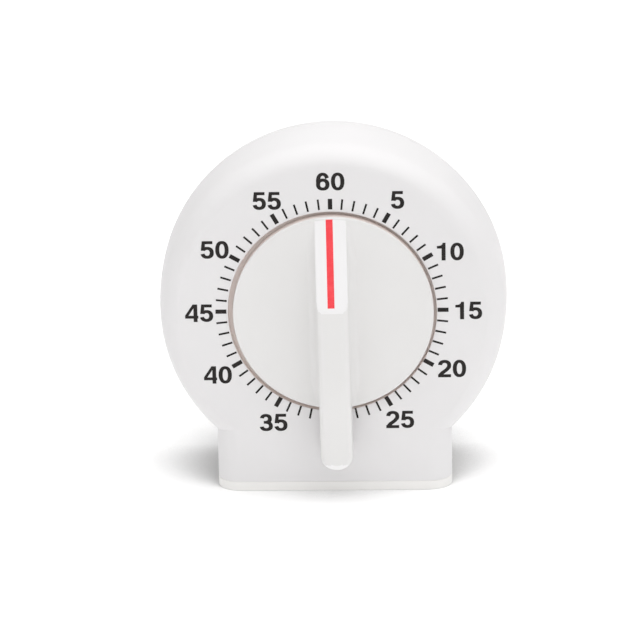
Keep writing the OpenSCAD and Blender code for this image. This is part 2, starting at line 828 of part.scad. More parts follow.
module pallet_lever() {
    color("tan") plate_at(lever_depth, lever_t) difference() {
        union() {
            for (s = [-1, 1]) bar(pallet_at, pallet_pin_at(s), pallet_arm_w);
            bar(weight_at(-1), weight_at(1), pallet_bar_w);
            translate(pallet_at) circle(r = pallet_hub_r);
        }
        translate(pallet_at) circle(r = thin_arbor + fit, $fn = fine_fn);
        for (s = [-1, 1]) {
            translate(pallet_pin_at(s)) circle(r = pin_r + pin_fit, $fn = fine_fn);
            translate(weight_at(s)) circle(r = weight_pin + fit, $fn = fine_fn);
        }
    }
}
module pallet_pins() {
    color("silver") for (s = [-1, 1]) rod(lever_depth, escape_depth + wheel_t, pin_r, pallet_pin_at(s));
}
module pallet_arbor() {
    color("steelblue") pivoted_arbor(pallet_at);
}
module pallet_weights() {
    color("gray") for (s = [-1, 1]) {
        rod(lever_depth - weight_h, lever_depth, weight_r, weight_at(s));
        rod(lever_depth - eps, lever_depth + lever_t, weight_pin, weight_at(s));
    }
}

module alarm_cam() {
    color("white") plate_at(cam_depth, cam_t) difference() {
        circle(r = cam_r);
        circle(r = rear_pivot_r + fit);
        polygon(concat(arc(cam_notch_r, cam_notch[0], cam_notch[1], notch_steps),
            arc(cam_r + cut, cam_notch[1], cam_notch[0], notch_steps)));
    }
}
module hammer_post() {
    color("silver") {
        rod(back_depth, hub_from, post_foot_r, hammer_at);
        rod(back_depth + plate_t, hub_to + clip_play, post_r, hammer_at);
        rod(back_depth + plate_t, post_end, post_neck_r, hammer_at);
        rod(post_end - post_cap_t, post_end, post_r, hammer_at);
    }
}
module hammer_clip() {
    color("gray") plate_at(hub_to + clip_play, clip_t - 2 * clip_play, hammer_at) difference() {
        ring(post_r + clip_w, post_neck_r + fit);
        translate([0, -clip_w / 2]) square([2 * post_r + clip_w, clip_w]);
    }
}
module hammer_lever() {
    color("silver") difference() {
        union() {
            plate_at(hammer_lever_depth, hammer_lever_t) {
                bar(hammer_at, hammer_head_at, head_arm_w);
                bar(hammer_at, tail_tip_at, cam_arm_w);
                translate(tail_tip_at) circle(r = tail_tip_r);
            }
            rod(hub_from, hub_to, lever_hub, hammer_at);
        }
        rod(hub_from - cut, hub_to + cut, post_r + fit, hammer_at);
        rod(hub_from - cut, hub_to + cut, head_pin + fit, hammer_head_at);
    }
}
module hammer_head() {
    seat = hammer_lever_depth + hammer_lever_t;
    color("gray") {
        rod(hammer_lever_depth, seat + head_over, head_pin, hammer_head_at);
        rod(seat, bell_rim + head_into_bell, hammer_r, hammer_head_at);
    }
}
module spring_post() {
    color("silver") {
        rod(back_depth, back_depth + plate_t, spring_foot_r, spring_post_at);
        rod(back_depth + plate_t, cam_depth + cam_t, spring_post_r, spring_post_at);
    }
}
module hammer_spring() {
    eye = spring_post_r + fit;
    color("slategray") plate_at(hammer_lever_depth, hammer_lever_t) {
        translate(spring_post_at) ring(eye + leaf_t, eye);
        bar(spring_post_at + polar(eye + leaf_t / 2, leaf_from), leaf_tip_at, leaf_t);
    }
}
module bell() {
    k = bell_h - bell_skirt;
    mid = bell_r - k;
    color("silver") at_depth(bell_back) difference() {
        rotate_extrude() polygon(concat([[0, 0]], arc(k, -90, 0, bell_steps, [mid, k]),
            [[bell_r, bell_h], [bell_r - bell_t, bell_h]],
            arc(k - bell_t, 0, -90, bell_steps, [mid, k]), [[0, bell_t]]));
        translate([0, 0, -cut]) cylinder(h = bell_h, r = bell_shank + fit);
    }
}
module bell_screw() {
    length = case_depth - bell_screw_floor - bell_back + bell_t;
    color("gray") at_depth(bell_back - bell_t) mirror([0, 0, 1])
        translate([0, 0, -head_h]) screw_up(bell_shank, length, bell_head, head_h);
}

front_case();
rear_case();
base_plate();
case_screws();
base_screws();
dial_knob();
pointer_inlay();
main_arbor();
thrust_washer();
great_wheel();
ratchet_wheel();
ratchet_clicks();
click_rivets();
mainspring();
front_plate();
back_plate();
plate_pillars();
pillar_nuts();
movement_screws();
second_wheel();
second_pinion();
third_wheel();
third_pinion();
escape_wheel();
escape_pinion();
pallet_lever();
pallet_pins();
pallet_arbor();
pallet_weights();
alarm_cam();
hammer_post();
hammer_lever();
hammer_head();
hammer_clip();
spring_post();
hammer_spring();
bell();
bell_screw();
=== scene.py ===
# Clockwork kitchen timer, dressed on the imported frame.
# Sizes in the dictionaries are millimetres; depths run back from the flat face of the case,
# and "up" and "across" are measured on the dial from its centre.
import math
import bmesh
import bpy
from mathutils import Matrix, Quaternion, Vector


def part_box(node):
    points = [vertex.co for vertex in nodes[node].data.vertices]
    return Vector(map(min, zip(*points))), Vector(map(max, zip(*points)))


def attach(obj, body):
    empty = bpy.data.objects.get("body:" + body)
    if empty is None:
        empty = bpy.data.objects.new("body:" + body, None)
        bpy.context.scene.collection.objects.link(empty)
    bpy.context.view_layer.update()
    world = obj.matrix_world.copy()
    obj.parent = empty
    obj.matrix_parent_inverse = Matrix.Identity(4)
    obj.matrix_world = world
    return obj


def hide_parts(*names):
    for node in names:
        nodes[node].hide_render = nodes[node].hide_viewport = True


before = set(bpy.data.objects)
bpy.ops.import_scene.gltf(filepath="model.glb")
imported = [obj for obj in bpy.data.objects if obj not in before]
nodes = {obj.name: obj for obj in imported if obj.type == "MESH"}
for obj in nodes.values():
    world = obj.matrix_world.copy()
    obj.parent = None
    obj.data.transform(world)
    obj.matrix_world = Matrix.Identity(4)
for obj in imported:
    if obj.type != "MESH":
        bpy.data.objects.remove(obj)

scene = bpy.context.scene
mm = 0.001
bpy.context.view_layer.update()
overlap = 1.0  # how far a cutter or a hollow runs past what it opens
weldGap = 1e-7  # metres; points closer than this are one
drumSteps, hubSteps, holeSteps, bossSteps = 224, 64, 48, 40  # round each kind of turned shape


def boxOf(node):
    low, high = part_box(node)
    return low / mm, high / mm


knobLow, knobHigh = boxOf("dial_knob")
frontLow, frontHigh = boxOf("front_case")
rearHigh = boxOf("rear_case")[1]
baseHigh = boxOf("base_plate")[1]

# Driving sizes that come from the frame
faceY = frontLow.y
drumRadius = frontHigh.x
drumUp = frontHigh.z - drumRadius  # height of the drum's centre
discRadius = knobHigh.x
dialUp = knobHigh.z - discRadius  # height of the dial's centre
tailReach = dialUp - knobLow.z
tailHeight = faceY - knobLow.y
caseDepth = rearHigh.y - faceY
baseThick = frontLow.z
footHalf = baseHigh.x
print("frame: drum radius %.1f, dial centre at %.1f, case depth %.1f" % (drumRadius, dialUp, caseDepth))


# Mesh helpers work in millimetres; settle() scales to metres at the end
def addMesh(name, points, faces):
    data = bpy.data.meshes.new(name)
    data.from_pydata([tuple(p) for p in points], [], faces)
    data.validate()
    shape = bmesh.new()
    shape.from_mesh(data)
    bmesh.ops.recalc_face_normals(shape, faces=shape.faces)
    shape.to_mesh(data)
    shape.free()
    obj = bpy.data.objects.new(name, data)
    scene.collection.objects.link(obj)
    return obj


# Closed skin through rings that have the same number of points, capped at both ends
def loft(name, rings):
    count = len(rings[0])
    points = [p for ring in rings for p in ring]
    faces = [tuple(range(count)), tuple(range(len(points) - count, len(points)))]
    for r in range(len(rings) - 1):
        for i in range(count):
            a, b = r * count + i, r * count + (i + 1) % count
            faces.append((a, b, b + count, a + count))
    return addMesh(name, points, faces)


# Solid of revolution about an axis that runs back into the case; profile is (radius, depth) from end to end
def lathe(name, profile, across, up, steps):
    turn = [2 * math.pi * (i + 0.5) / steps for i in range(steps)]
    return loft(name, [[(across + r * math.cos(a), faceY + depth, up + r * math.sin(a)) for a in turn]
                       for r, depth in profile])


# Upright prism whose plan changes with height: levels is a list of (plan, height)
def upright(name, levels):
    return loft(name, [[(x, y, z) for x, y in plan] for plan, z in levels])


def arcPoints(cx, cy, rx, ry, start, stop, steps):
    turn = [math.radians(start + (stop - start) * i / steps) for i in range(steps + 1)]
    return [(cx + rx * math.cos(a), cy + ry * math.sin(a)) for a in turn]


def combine(target, tool, operation):
    change = target.modifiers.new(operation.lower(), "BOOLEAN")
    change.operation = operation
    change.solver = "EXACT"
    change.object = tool
    bpy.context.view_layer.update()
    result = bpy.data.meshes.new_from_object(target.evaluated_get(bpy.context.evaluated_depsgraph_get()))
    target.modifiers.clear()
    target.data = result
    bpy.data.objects.remove(tool)
    return target


def fuse(target, *tools):
    for tool in tools:
        combine(target, tool, "UNION")
    return target


def cut(target, *tools):
    for tool in tools:
        combine(target, tool, "DIFFERENCE")
    return target


# Scales a finished mesh to metres, smooths it up to an angle and gives it to its body
def settle(obj, body, material, stands, angle=32):
    obj.data.transform(Matrix.Scale(mm, 4))
    shape = bmesh.new()
    shape.from_mesh(obj.data)
    bmesh.ops.remove_doubles(shape, verts=shape.verts, dist=weldGap)
    bmesh.ops.dissolve_degenerate(shape, edges=shape.edges, dist=weldGap)
    limit = math.radians(angle)
    for face in shape.faces:
        face.smooth = True
    for edge in shape.edges:
        edge.smooth = len(edge.link_faces) != 2 or edge.calc_face_angle(0) < limit
    shape.to_mesh(obj.data)
    shape.free()
    even = obj.modifiers.new("even normals", "WEIGHTED_NORMAL")
    even.keep_sharp = True
    even.weight = 100
    obj.data.materials.clear()
    obj.data.materials.append(material)
    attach(obj, body)
    if stands:
        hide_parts(*stands)


# Every finish starts from the object coordinates of its own piece
def startFinish(name):
    made = bpy.data.materials.new(name)
    made.use_nodes = True
    tree = made.node_tree
    shader = tree.nodes["Principled BSDF"]
    place = tree.nodes.new("ShaderNodeTexCoord")
    return made, tree, shader, place.outputs["Object"]


def addNoise(tree, place, scale, detail, rough=0.5, stretch=(1, 1, 1)):
    spread = tree.nodes.new("ShaderNodeMapping")
    spread.inputs["Scale"].default_value = stretch
    tree.links.new(place, spread.inputs["Vector"])
    noise = tree.nodes.new("ShaderNodeTexNoise")
    noise.inputs["Scale"].default_value = scale
    noise.inputs["Detail"].default_value = detail
    noise.inputs["Roughness"].default_value = rough
    tree.links.new(spread.outputs["Vector"], noise.inputs["Vector"])
    return noise.outputs["Fac"]


def addRange(tree, value, low, high, fromLow=0.3, fromHigh=0.7):
    span = tree.nodes.new("ShaderNodeMapRange")
    span.inputs["From Min"].default_value = fromLow
    span.inputs["From Max"].default_value = fromHigh
    span.inputs["To Min"].default_value = low
    span.inputs["To Max"].default_value = high
    tree.links.new(value, span.inputs["Value"])
    return span.outputs["Result"]


def addRamp(tree, value, stops):
    ramp = tree.nodes.new("ShaderNodeValToRGB")
    marks = ramp.color_ramp.elements
    for mark, (position, colour) in zip((marks[0], marks[1]), (stops[0], stops[-1])):
        mark.position, mark.color = position, (*colour, 1)
    for position, colour in stops[1:-1]:
        marks.new(position).color = (*colour, 1)
    tree.links.new(value, ramp.inputs["Fac"])
    return ramp.outputs["Color"]


def addBump(tree, value, strength, distance, under=None):
    bump = tree.nodes.new("ShaderNodeBump")
    bump.inputs["Strength"].default_value = strength
    bump.inputs["Distance"].default_value = distance * mm
    tree.links.new(value, bump.inputs["Height"])
    if under:
        tree.links.new(under, bump.inputs["Normal"])
    return bump.outputs["Normal"]


# The larger of two values
def addLarger(tree, first, second):
    larger = tree.nodes.new("ShaderNodeMath")
    larger.operation = "MAXIMUM"
    tree.links.new(first, larger.inputs[0])
    tree.links.new(second, larger.inputs[1])
    return larger.outputs["Value"]


def shade(colour, factor):
    return tuple(min(1.0, c * factor) for c in colour)


# Roughness that wanders with a noise, a little below and above the finish's own
def addPolish(tree, shader, value, facts, below, above):
    rough = addRange(tree, value, facts["rough"] - below, facts["rough"] + above)
    tree.links.new(rough, shader.inputs["Roughness"])


plasticFacts = {
    "cloudStops": (0.35, 0.65),
    "polish": 0.05,
    "swellBump": 0.25,
    "grainDepth": 0.02,
    "ior": 1.5,
    "shine": 0.5,
    "throughRadius": (1.0, 0.8, 0.7),
    "throughDepth": 0.6,  # how far light gets into the thin parts
}
metalFacts = {
    "patchStops": (0.3, 0.55, 0.75),
    "patchShades": (0.86, 1.0, 1.08),
    "polish": (0.07, 0.09),
    "lineBump": 0.35,
}
inkFacts = {"stops": (0.3, 0.6), "polish": 0.06, "bump": 0.15, "depth": 0.01, "shine": 0.5}


# Moulded plastic: faint flow clouds and a fine spark-eroded grain
def mouldedPlastic(name, facts):
    made, tree, shader, place = startFinish(name)
    common = plasticFacts
    clouds = addNoise(tree, place, facts["clouds"], 2.0)
    grain = addNoise(tree, place, facts["grain"], 4.0, 0.6)
    shades = [shade(facts["colour"], 1 + side * facts["drift"]) for side in (-1, 1)]
    tint = addRamp(tree, clouds, list(zip(common["cloudStops"], shades)))
    tree.links.new(tint, shader.inputs["Base Color"])
    addPolish(tree, shader, grain, facts, common["polish"], common["polish"])
    swell = addBump(tree, clouds, common["swellBump"], facts["swell"])
    bump = addBump(tree, grain, facts["grainBump"], common["grainDepth"], swell)
    tree.links.new(bump, shader.inputs["Normal"])
    shader.inputs["IOR"].default_value = common["ior"]
    shader.inputs["Specular IOR Level"].default_value = facts.get("shine", common["shine"])
    shader.inputs["Subsurface Weight"].default_value = facts.get("through", 0.0)
    shader.inputs["Subsurface Radius"].default_value = common["throughRadius"]
    shader.inputs["Subsurface Scale"].default_value = common["throughDepth"] * mm
    return made


# Metal with fine lines from rolling or turning and a patchy polish
def workedMetal(name, facts):
    made, tree, shader, place = startFinish(name)
    lines = addNoise(tree, place, facts["lines"], 2.0, 0.6, facts["stretch"])
    patches = addNoise(tree, place, facts["patches"], 3.0)
    shades = [shade(facts["colour"], factor) for factor in metalFacts["patchShades"]]
    tint = addRamp(tree, patches, list(zip(metalFacts["patchStops"], shades)))
    tree.links.new(tint, shader.inputs["Base Color"])
    addPolish(tree, shader, lines, facts, *metalFacts["polish"])
    bump = addBump(tree, lines, metalFacts["lineBump"], facts["lineDepth"])
    tree.links.new(bump, shader.inputs["Normal"])
    shader.inputs["Metallic"].default_value = 1.0
    return made


# Printing ink, slightly uneven where it lies on the grain
def printedInk(name, facts):
    made, tree, shader, place = startFinish(name)
    spread = addNoise(tree, place, facts["spread"], 3.0)
    tint = addRamp(tree, spread, list(zip(inkFacts["stops"], (facts["thin"], facts["full"]))))
    tree.links.new(tint, shader.inputs["Base Color"])
    addPolish(tree, shader, spread, facts, inkFacts["polish"], inkFacts["polish"])
    bump = addBump(tree, spread, inkFacts["bump"], inkFacts["depth"])
    tree.links.new(bump, shader.inputs["Normal"])
    shader.inputs["Specular IOR Level"].default_value = facts.get("shine", inkFacts["shine"])
    return made


finishes = {
    "casePlastic": mouldedPlastic("case gloss white", dict(
        colour=(0.78, 0.77, 0.775), clouds=45, drift=0.008, swell=0.03, grain=1400, grainBump=0.05,
        rough=0.5, shine=0.35)),
    # Recess: paler and warmer than the case, light painted into the shaded groove in place of light shining
    # through the thin plastic
    "recessPaintedLight": mouldedPlastic("recess painted light", dict(
        colour=(0.94, 0.865, 0.83), clouds=70, drift=0.012, swell=0.02, grain=1600, grainBump=0.06,
        rough=0.5)),
    # Disc rim's sides: warm tint darker than the recess, painted shade that keeps the groove a warm dark
    # band and takes the highlight off the rim's top
    "rimPaintedShade": mouldedPlastic("disc rim painted shade", dict(
        colour=(0.81, 0.73, 0.70), clouds=70, drift=0.012, swell=0.02, grain=1600, grainBump=0.06,
        rough=0.5)),
    "knobPlastic": mouldedPlastic("knob satin white", dict(
        colour=(0.772, 0.765, 0.759), clouds=60, drift=0.008, swell=0.02, grain=1700, grainBump=0.05,
        rough=0.44, shine=0.6)),
    # Ramp and the tip's bevel: glossier than the knob, which is real polish, and paler, which is a painted
    # highlight
    "rampPolishAndHighlight": mouldedPlastic("ramp polished white, painted highlight", dict(
        colour=(0.86, 0.852, 0.858), clouds=60, drift=0.008, swell=0.02, grain=1700, grainBump=0.03,
        rough=0.33, shine=0.8)),
    # Base: paler than the case, painted light against the shade low down under the drum
    "baseLitPlastic": mouldedPlastic("base painted light white", dict(
        colour=(0.865, 0.855, 0.84), clouds=60, drift=0.01, swell=0.02, grain=1100, grainBump=0.08,
        rough=0.42)),
    "indexRed": printedInk("index red", dict(
        full=(0.9, 0.045, 0.061), thin=(0.93, 0.068, 0.083), spread=700, rough=0.4)),
    "dialInk": printedInk("dial black", dict(
        full=(0.0145, 0.012, 0.0115), thin=(0.023, 0.019, 0.018), spread=900, rough=0.5, shine=0.2)),
    "wheelPlastic": mouldedPlastic("escape wheel nylon", dict(
        colour=(0.72, 0.68, 0.55), clouds=120, drift=0.03, swell=0.01, grain=2200, grainBump=0.08,
        rough=0.45, through=0.2)),
    "leverPlastic": mouldedPlastic("pallet lever nylon", dict(
        colour=(0.66, 0.60, 0.47), clouds=120, drift=0.03, swell=0.01, grain=2200, grainBump=0.08,
        rough=0.45, through=0.2)),
    "camPlastic": mouldedPlastic("cam acetal white", dict(
        colour=(0.76, 0.75, 0.72), clouds=120, drift=0.02, swell=0.01, grain=2000, grainBump=0.08,
        rough=0.4, through=0.2)),
    "screwSteel": workedMetal("screw zinc", dict(
        colour=(0.62, 0.63, 0.65), lines=900, stretch=(1, 0.3, 1), patches=260, rough=0.3, lineDepth=0.01)),
    "plateBrass": workedMetal("plate brass", dict(
        colour=(0.76, 0.58, 0.29), lines=500, stretch=(6, 1, 0.4), patches=110, rough=0.3, lineDepth=0.01)),
    "wheelBrass": workedMetal("wheel brass", dict(
        colour=(0.80, 0.60, 0.27), lines=800, stretch=(1, 1, 1), patches=180, rough=0.26, lineDepth=0.008)),
    "turnedSteel": workedMetal("arbor turned steel", dict(
        colour=(0.58, 0.59, 0.61), lines=700, stretch=(0.3, 6, 0.3), patches=300, rough=0.22,
        lineDepth=0.008)),
    "springSteel": workedMetal("spring blue steel", dict(
        colour=(0.28, 0.31, 0.37), lines=900, stretch=(0.4, 6, 0.4), patches=200, rough=0.28,
        lineDepth=0.006)),
    "leverSteel": workedMetal("lever stamped steel", dict(
        colour=(0.52, 0.53, 0.54), lines=700, stretch=(3, 1, 0.6), patches=220, rough=0.36,
        lineDepth=0.01)),
    "bellSteel": workedMetal("bell nickel", dict(
        colour=(0.70, 0.69, 0.66), lines=600, stretch=(0.5, 5, 0.5), patches=90, rough=0.18,
        lineDepth=0.006)),
}
print("finishes: %d" % len(finishes))


caseFacts = {
    "wall": 2.2,
    "shoulderWidth": 4.4,
    "shoulderDepth": 7.0,
    "insideShoulder": 0.8,  # share of the wall by which the shoulder is tighter inside
    "sideDraft": 1.6,  # how far the side draws in towards the front
    "draftDepth": 20.0,
    "seamDepth": 24.0,
    "seamChamfer": 0.1,
    "seamClear": 0.3,  # the back rounding's points start at least this far behind the seam
    "rearWidth": 9.0,
    "rearDepth": 15.0,
    "footCorner": 6.5,
    "innerCorner": 1.0,  # least rounding inside the foot
    "footTop": 30.0,  # inside the drum, so it never shows
    "footLip": 0.1,  # small chamfer above the base plate
    "cupRadius": 28.2,
    "cupPlace": (0.1, -0.36),  # the recess sits this far off the centre of the printing
    "cupDepth": 2.4,
    "cupFrom": 0.5,  # the cup starts inside the wall of the face
    "cupBack": 5.5,
    "cupWall": 1.8,
    "cupLip": 0.12,
    "recessLightReach": 0.02,  # faces this far outside the recess still have its painted light
    "recessLightFrom": 0.6,  # share of the lip's depth where the painted light starts
    "hubHole": 4.8,
    "hubDepth": 12.0,
    "slotCount": 16,
    "slotFrom": 11.0,
    "slotTo": 23.0,
    "slotWidth": 2.0,
    "slotLip": 0.25,
    "screwAngles": (40, 140, 220, 320),
    "screwCircle": 37.0,
    "screwHole": 1.5,
    "screwSink": 3.0,
    "screwRecess": 2.85,
    "screwLip": 0.3,
    "bossRadius": 3.6,
    "bossFrom": 0.5,  # behind the seam
    "bossEnd": 1.2,  # before the back
    "shoulderSteps": 28,
    "draftSteps": 12,
    "backSteps": 36,
    "cornerSteps": 16,
    "lipSteps": 5,
    "slotSteps": 10,
}


# Outside or inside of the drum between the face and the seam, or between the seam and the back
def drumSkin(name, facts, inset, front):
    r = drumRadius - inset
    lip = facts["seamChamfer"] if inset == 0 else 0.0
    over = 0.0 if inset == 0 else overlap
    seam = facts["seamDepth"]
    if front:
        tighter = inset * facts["insideShoulder"]
        width, depth = facts["shoulderWidth"] - tighter, facts["shoulderDepth"] - tighter
        full, steps = facts["draftDepth"], facts["draftSteps"]
        arc = arcPoints(r - width, 0, width, depth, 90, 0, facts["shoulderSteps"])
        shoulder = [(x, depth - y) for x, y in arc]
        side = [(r, depth + (full - depth) * i / steps) for i in range(1, steps + 1)]
        profile = [(x - facts["sideDraft"] * (1 - d / full) ** 2, inset + d) for x, d in shoulder + side]
        profile += [(r, caseDepth - facts["rearDepth"]), (r - lip, seam + over)]
    else:
        width, depth = facts["rearWidth"] - inset, facts["rearDepth"] - inset
        corner = arcPoints(r - width, caseDepth - inset - depth, width, depth, 0, 90, facts["backSteps"])
        seamRadius = r - width + width * math.sqrt(1 - ((seam - corner[0][1]) / depth) ** 2)
        profile = [(seamRadius - lip, seam - over), (seamRadius, seam + lip)]
        profile += [(x, d) for x, d in corner if d > seam + facts["seamClear"]]
    return lathe(name, profile, 0, drumUp, drumSteps)


# Plan of one half of the foot: rounded corners at the open end, a small chamfer at the seam
def footPlan(facts, inset, front):
    half, turn = footHalf - inset, max(facts["footCorner"] - inset, facts["innerCorner"])
    outside = inset < facts["wall"]
    lip = facts["seamChamfer"] if outside else 0.0
    over = 0.0 if outside else overlap
    seam = faceY + facts["seamDepth"]
    if front:
        end = faceY + inset
        right = arcPoints(half - turn, end + turn, turn, turn, 270, 360, facts["cornerSteps"])
        plan = right + [(half, seam - lip), (half - lip, seam + over)]
    else:
        end = faceY + caseDepth - inset
        right = arcPoints(half - turn, end - turn, turn, turn, 90, 0, facts["cornerSteps"])
        plan = right + [(half, seam + lip), (half - lip, seam - over)]
    return plan + [(-x, y) for x, y in reversed(plan)]


def footSkin(name, facts, inset, front):
    lip = facts["footLip"]
    plan = footPlan(facts, inset, front)
    if inset == 0:
        smaller = footPlan(facts, lip, front)
        levels = [(smaller, baseThick), (plan, baseThick + lip), (plan, facts["footTop"])]
    else:
        levels = [(plan, baseThick - overlap), (plan, facts["footTop"])]
    return upright(name, levels)


def shellHalf(name, facts, front):
    wall = facts["wall"]
    shell = fuse(drumSkin(name, facts, 0, front), footSkin("foot", facts, 0, front))
    hollow = fuse(drumSkin("hollow", facts, wall, front), footSkin("footHollow", facts, wall, front))
    return cut(shell, hollow)


frontShell = shellHalf("frontShell", caseFacts, True)
case = caseFacts
cupX, cupZ = case["cupPlace"][0], dialUp + case["cupPlace"][1]
cupIn, cupLip = case["cupRadius"], case["cupLip"]
cupOut = cupIn + case["cupWall"]
cup = [(cupOut, case["cupFrom"]), (cupOut, case["cupBack"])]
fuse(frontShell, lathe("cup", cup, cupX, cupZ, drumSteps))
lipArc = arcPoints(0, 0, cupLip, cupLip, 90, 0, case["lipSteps"])
recess = [(cupIn + cupLip, -overlap)] + [(cupIn + cupLip - x, cupLip - y) for x, y in lipArc]
recess += [(cupIn, case["cupDepth"])]
cut(frontShell,
    lathe("recess", recess, cupX, cupZ, drumSteps),
    lathe("hubHole", [(case["hubHole"], 0), (case["hubHole"], case["hubDepth"])], 0, dialUp, hubSteps))
settle(frontShell, "case", finishes["casePlastic"], ("front_case",))
frontShell.data.materials.append(finishes["recessPaintedLight"])
# Faces inside the recess get the paler, warmer finish: painted light in the shaded groove
recessLightFrom = faceY + cupLip * case["recessLightFrom"]
for face in frontShell.data.polygons:
    radius = math.hypot(face.center.x - cupX * mm, face.center.z - cupZ * mm)
    if radius < (cupIn + case["recessLightReach"]) * mm and face.center.y > recessLightFrom * mm:
        face.material_index = 1
print("front shell: %d faces" % len(frontShell.data.polygons))

rearShell = shellHalf("rearShell", caseFacts, False)
circle, bossTurns = case["screwCircle"], [math.radians(a) for a in case["screwAngles"]]
bossPlaces = [(circle * math.cos(a), drumUp + circle * math.sin(a)) for a in bossTurns]
bossRadius = case["bossRadius"]
boss = [(bossRadius, case["seamDepth"] + case["bossFrom"]), (bossRadius, caseDepth - case["bossEnd"])]
for x, z in bossPlaces:
    fuse(rearShell, lathe("boss", boss, x, z, bossSteps))
hole, head, lip = case["screwHole"], case["screwRecess"], case["screwLip"]
sink = caseDepth - case["screwSink"]
screwWell = [(hole, case["seamDepth"] - overlap), (hole, sink), (head, sink), (head, caseDepth - lip),
             (head + lip, caseDepth), (head + lip, caseDepth + overlap)]
for x, z in bossPlaces:
    cut(rearShell, lathe("screwHole", screwWell, x, z, holeSteps))

half, lip = case["slotWidth"] / 2, case["slotLip"]
slotLevels = ((half, caseDepth - case["wall"] - overlap), (half, caseDepth - lip),
              (half + lip, caseDepth), (half + lip, caseDepth + overlap))
for i in range(case["slotCount"]):
    angle = 2 * math.pi * (i + 0.5) / case["slotCount"]
    c, s = math.cos(angle), math.sin(angle)
    rings = []
    for half, depth in slotLevels:
        outline = (arcPoints(case["slotFrom"], 0, half, half, 90, 270, case["slotSteps"])
                   + arcPoints(case["slotTo"], 0, half, half, -90, 90, case["slotSteps"]))
        rings.append([(x * c - y * s, faceY + depth, dialUp + x * s + y * c) for x, y in outline])
    cut(rearShell, loft("slot", rings))
settle(rearShell, "case", finishes["casePlastic"], ("rear_case",))
print("rear shell: %d faces" % len(rearShell.data.polygons))


baseFacts = {
    "corner": 6.5,
    "cornerSteps": 14,
    "topLip": 0.15,
    "foot": 0.2,  # rounding of the lower edge
    "footSoft": 0.3,  # share of it that the first bevel takes
    "screwAcross": 23.0,
    "screwAlong": 12.0,
    "screwHole": 1.4,
    "headHole": 2.65,
    "headDepth": 1.65,
}


def basePlan(inset):
    half, deep, turn = footHalf - inset, caseDepth / 2 - inset, baseFacts["corner"] - inset
    right = []
    for y, start in ((-deep + turn, 270), (deep - turn, 0)):
        right += arcPoints(half - turn, y, turn, turn, start, start + 90, baseFacts["cornerSteps"])
    return right + [(-x, y) for x, y in reversed(right)]


foot, lip = baseFacts["foot"], baseFacts["topLip"]
soft = foot * baseFacts["footSoft"]
baseStrip = upright("baseStrip", [(basePlan(foot), 0), (basePlan(soft), soft), (basePlan(0), foot),
                                  (basePlan(0), baseThick - lip), (basePlan(lip), baseThick)])
baseHoles = ((baseFacts["screwHole"], baseThick + overlap), (baseFacts["headHole"], baseFacts["headDepth"]))
lastTurn = 360 * (holeSteps - 1) / holeSteps
for sx in (-1, 1):
    for sy in (-1, 1):
        for radius, high in baseHoles:
            circle = arcPoints(sx * baseFacts["screwAcross"], sy * baseFacts["screwAlong"], radius, radius,
                               0, lastTurn, holeSteps - 1)
            cut(baseStrip, upright("baseHole", [(circle, -overlap), (circle, high)]))
settle(baseStrip, "case", finishes["baseLitPlastic"], ("base_plate",))
print("base: %d faces" % len(baseStrip.data.polygons))


knobFacts = {
    "proud": 1.5,  # disc above the face
    "rimRound": 0.4,
    "rimSteps": 8,
    "rimDepth": 2.0,
    "rimChamfer": 0.2,
    "hub": 4.5,
    "hubOver": 0.5,  # how far the hub reaches into the disc
    "hubEnd": 6.6,
    "ridgeUp": 2.7,  # where the ramp meets the bar
    "ridgeHeight": 9.5,
    "ridgeSoft": 0.3,  # how softly the ramp runs into the bar
    "rampFoot": 1.65,  # ramp's height at the rim
    "rampRound": 1.0,
    "rampEnd": 26.95,
    "rampEdge": 0.5,  # rounding along the ramp's sides
    "rampOver": 0.35,  # the ramp's polish and painted highlight run this far over the ridge
    "rampMargin": 0.05,  # and stays this far inside its sides
    "rampCorner": 2.6,  # its two lower corners are round
    "rampSpread": 0.24,  # radians a face may tilt from the ramp and still belong to it
    "flankTurn": 0.75,  # a face that looks further sideways belongs to the flank
    "rimHalf": 4.36,
    "tailHalf": 4.28,
    "tailShort": 0.05,  # the tip ends this far short
    "crown": 0.16,
    "edgeRound": 1.35,
    "tipLine": -39.6,  # where the bevel at the tail's end starts
    "tipCurve": -0.5,
    "tipSlope": 0.45,
    "tipSoft": 0.1,
    "tipFacing": (-0.4, -0.5),  # faces of the tip's bevel that look at least this far down and forward get the ramp's painted highlight
    "sunk": 0.9,  # grip below the disc's face
    "rimUnder": 2.7,
    "rimBlend": 1.0,  # half the length over which the underside rises past the rim
    "tailUnder": 6.4,
    "turned": 0.9,  # degrees the hand left it off the mark
    "slack": (0.38, -0.33),  # how the worn hub lets it hang
}


def softMin(a, b, width):
    if abs(a - b) >= width:
        return min(a, b)
    return min(a, b) - (width - abs(a - b)) ** 2 / (4 * width)


def smoothStep(t):
    t = min(1.0, max(0.0, t))
    return t * t * (3 - 2 * t)


# How far a rounded edge drops at some distance in from it
def edgeDrop(turn, inFromEdge):
    if inFromEdge >= turn:
        return 0.0
    return turn - math.sqrt(max(0.0, turn * turn - (turn - inFromEdge) ** 2))


def gripHalf(facts, up):
    reach = min(1.0, (discRadius - up) / (discRadius + tailReach))
    return facts["rimHalf"] + (facts["tailHalf"] - facts["rimHalf"]) * reach


# Height of the grip's back line, without the ramp
def barHeight(facts, up):
    reach = min(1.0, max(0.0, (facts["ridgeUp"] - up) / (facts["ridgeUp"] + tailReach)))
    return facts["ridgeHeight"] + (tailHeight - facts["ridgeHeight"]) * reach * (2 - reach)


def rampSlope(facts):
    run = facts["rampEnd"] - facts["rampRound"] - facts["ridgeUp"]
    return (facts["ridgeHeight"] - facts["rampFoot"]) / run


